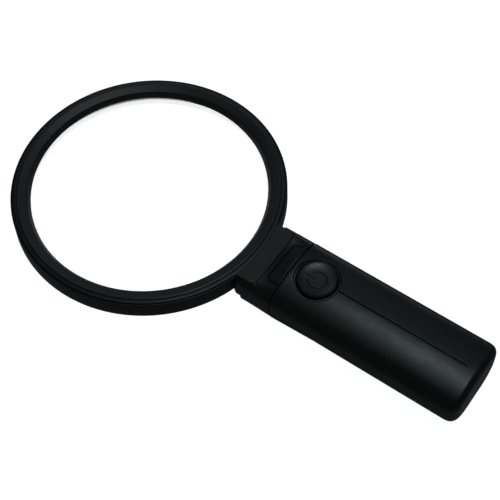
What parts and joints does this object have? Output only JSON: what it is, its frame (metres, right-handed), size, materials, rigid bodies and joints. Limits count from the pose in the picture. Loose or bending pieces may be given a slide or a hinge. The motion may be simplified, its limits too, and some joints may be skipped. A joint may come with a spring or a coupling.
{
  "type": "low vision magnifier",
  "caption": "Round-lens illuminated hand magnifier with a pull-off lens head, push button, release tab and battery handle.",
  "frame": {"origin": "bottom centre of the bounding box, on the plane of the flat back of the handle", "axes": "+X from the lens towards the far end of the handle, +Z out of the viewing side (bezel and button)"},
  "size_m": [0.2184, 0.1176, 0.0218],
  "materials": {
    "satin_black": "satin moulded, finely grained",
    "inner_black": "matt moulded",
    "clear_acrylic": "clear polished acrylic",
    "spring_steel": "nickel plated",
    "gold_contact": "gold plated",
    "circuit_board": "solder mask",
    "chip_black": "moulded epoxy",
    "led_phosphor": "phosphor dome",
    "cell_can": "printed sleeve, plain",
    "wire_red": "insulation",
    "wire_black": "insulation"
  },
  "bodies": {
    "handle": {"handle_pad_left": "gold_contact", "handle_pad_right": "gold_contact", "upper_shell": "satin_black", "lower_shell": "satin_black", "spigot": "inner_black", "release_spring": "spring_steel", "control_board": "circuit_board", "push_switch": "chip_black", "driver_chip": "chip_black", "driver_coil": "chip_black", "shell_screw_1": "spring_steel", "shell_screw_2": "spring_steel", "shell_screw_3": "spring_steel", "shell_screw_4": "spring_steel", "button_spring": "spring_steel", "battery_1": "cell_can", "battery_2": "cell_can", "contact_plate_pos": "spring_steel", "contact_plate_neg": "spring_steel", "bridge_plate": "spring_steel", "cell_spring_front": "spring_steel", "cell_spring_rear": "spring_steel", "head_lead_red": "wire_red", "cell_lead_red": "wire_red", "head_lead_black": "wire_black", "cell_lead_black": "wire_black"},
    "head": {"lens": "clear_acrylic", "bezel": "satin_black", "head_frame": "satin_black", "led_window": "clear_acrylic", "led_board": "circuit_board", "led_1": "led_phosphor", "led_2": "led_phosphor", "led_3": "led_phosphor", "contact_block": "inner_black", "head_pin_left": "gold_contact", "head_pin_right": "gold_contact"},
    "button": {"button_cap": "satin_black", "switch_plunger": "inner_black"},
    "release": {"release_tab": "satin_black"},
    "cover": {"battery_cover": "satin_black"}
  },
  "joints": [
    {"name": "head_pull", "type": "slide", "parent": "handle", "child": "head", "axis": [-1, 0, 0], "range_m": [0, 0.025]},
    {"name": "button_press", "type": "slide", "parent": "handle", "child": "button", "axis": [0, 0, -1], "range_m": [0, 0.0012], "stiffness_N_per_m": 1200, "deforming": ["button_spring"]},
    {"name": "release_press", "type": "slide", "parent": "handle", "child": "release", "axis": [0, 0, -1], "range_m": [0, 0.001], "stiffness_N_per_m": 1500, "deforming": ["release_spring"]},
    {"name": "cover_slide", "type": "slide", "parent": "handle", "child": "cover", "axis": [1, 0, 0], "range_m": [0, 0.064]}
  ]
}
